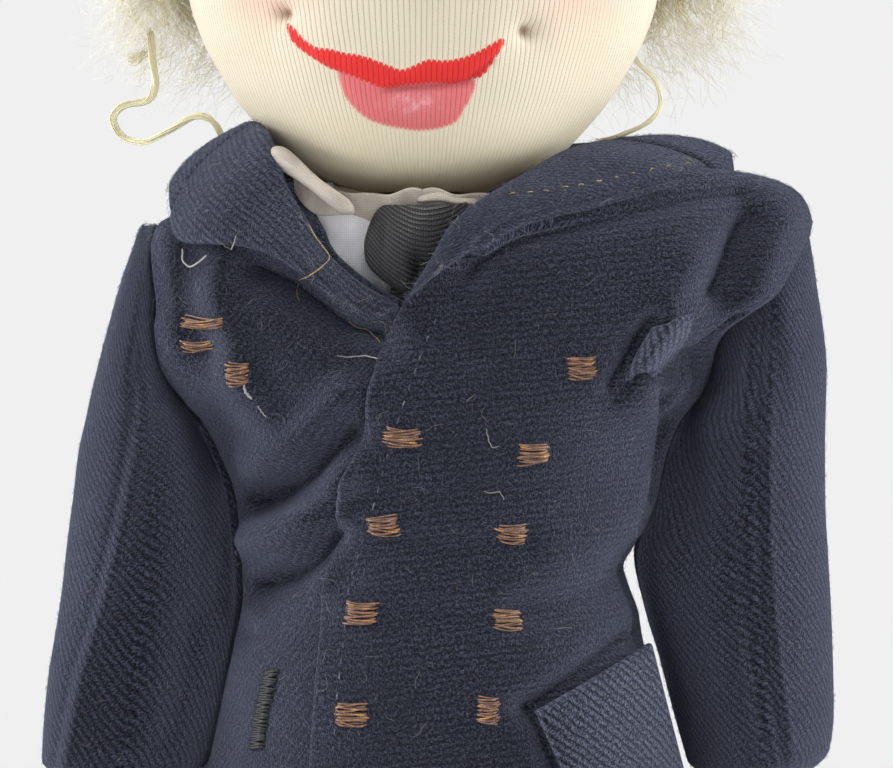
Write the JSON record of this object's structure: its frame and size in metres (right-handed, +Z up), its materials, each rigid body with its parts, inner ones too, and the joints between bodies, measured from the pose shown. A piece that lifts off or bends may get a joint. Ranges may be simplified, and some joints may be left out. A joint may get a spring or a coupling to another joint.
{
  "type": "doll",
  "caption": "Stuffed cloth doll with curly blond hair and painted lips, standing in a navy double-breasted wool jacket, shirt and tie, with turning head, arms and legs.",
  "frame": {"origin": "bottom centre of the bounding box, on the floor between the shoes", "axes": "+Z up through the head, the doll faces -Y, +X is the doll's left"},
  "size_m": [0.122, 0.0748, 0.3338],
  "materials": {
    "stockinette": "fine cream cotton stockinette, stuffed firm",
    "mohair": "curled blond mohair",
    "shirt_cotton": "white cotton lawn",
    "tie_ribbing": "black ribbed ribbon",
    "navy_wool": "navy wool twill, slightly fuzzy",
    "black_thread": "black embroidery thread",
    "metallic_thread": "tarnished gold thread",
    "shoe_leather": "polished black",
    "sole_leather": "worn brown-black edge",
    "joint_card": "grey-brown board",
    "split_pin_steel": "plain"
  },
  "bodies": {
    "torso": {"torso": "stockinette", "shirt_body": "shirt_cotton", "left_shirt_collar": "shirt_cotton", "right_shirt_collar": "shirt_cotton", "tie_knot": "tie_ribbing", "tie_blade": "tie_ribbing", "jacket_back": "navy_wool", "jacket_left_front": "navy_wool", "jacket_right_front": "navy_wool", "jacket_collar": "navy_wool", "left_lapel": "navy_wool", "right_lapel": "navy_wool", "left_pocket_flap": "navy_wool", "breast_pocket_welt": "navy_wool", "right_pocket_stitching": "black_thread", "breast_bar_1": "metallic_thread", "breast_bar_2": "metallic_thread", "trousers_seat": "navy_wool", "left_button_1": "metallic_thread", "left_button_2": "metallic_thread", "left_button_3": "metallic_thread", "left_button_4": "metallic_thread", "left_button_5": "metallic_thread", "right_button_1": "metallic_thread", "right_button_2": "metallic_thread", "right_button_3": "metallic_thread", "right_button_4": "metallic_thread", "right_button_5": "metallic_thread", "neck_pin": "split_pin_steel", "left_shoulder_pin": "split_pin_steel", "right_shoulder_pin": "split_pin_steel", "left_hip_pin": "split_pin_steel", "right_hip_pin": "split_pin_steel", "neck_body_disc": "joint_card", "left_shoulder_body_disc": "joint_card", "right_shoulder_body_disc": "joint_card", "left_hip_body_disc": "joint_card", "right_hip_body_disc": "joint_card"},
    "head": {"head": "stockinette", "wig": "mohair", "neck_head_disc": "joint_card"},
    "left_arm": {"left_arm": "stockinette", "left_sleeve": "navy_wool", "left_shoulder_arm_disc": "joint_card"},
    "left_leg": {"left_leg": "stockinette", "left_trouser_leg": "navy_wool", "left_shoe": "shoe_leather", "left_sole": "sole_leather", "left_hip_leg_disc": "joint_card"},
    "right_arm": {"right_arm": "stockinette", "right_sleeve": "navy_wool", "right_shoulder_arm_disc": "joint_card"},
    "right_leg": {"right_leg": "stockinette", "right_trouser_leg": "navy_wool", "right_shoe": "shoe_leather", "right_sole": "sole_leather", "right_hip_leg_disc": "joint_card"}
  },
  "joints": [
    {"name": "neck_turn", "type": "hinge", "parent": "torso", "child": "head", "pos_m": [-0.0026, 0, 0.25175], "axis": [0, 0, 1], "range_deg": [-70, 70]},
    {"name": "left_shoulder", "type": "hinge", "parent": "torso", "child": "left_arm", "pos_m": [0.04, 0, 0.2375], "axis": [-1, 0, 0], "range_deg": [-40, 90]},
    {"name": "right_shoulder", "type": "hinge", "parent": "torso", "child": "right_arm", "pos_m": [-0.04, 0, 0.2375], "axis": [-1, 0, 0], "range_deg": [-40, 90]},
    {"name": "left_hip", "type": "hinge", "parent": "torso", "child": "left_leg", "pos_m": [0.008, 0, 0.132], "axis": [-1, 0, 0], "range_deg": [-10, 90]},
    {"name": "right_hip", "type": "hinge", "parent": "torso", "child": "right_leg", "pos_m": [-0.008, 0, 0.132], "axis": [-1, 0, 0], "range_deg": [-10, 90]}
  ]
}
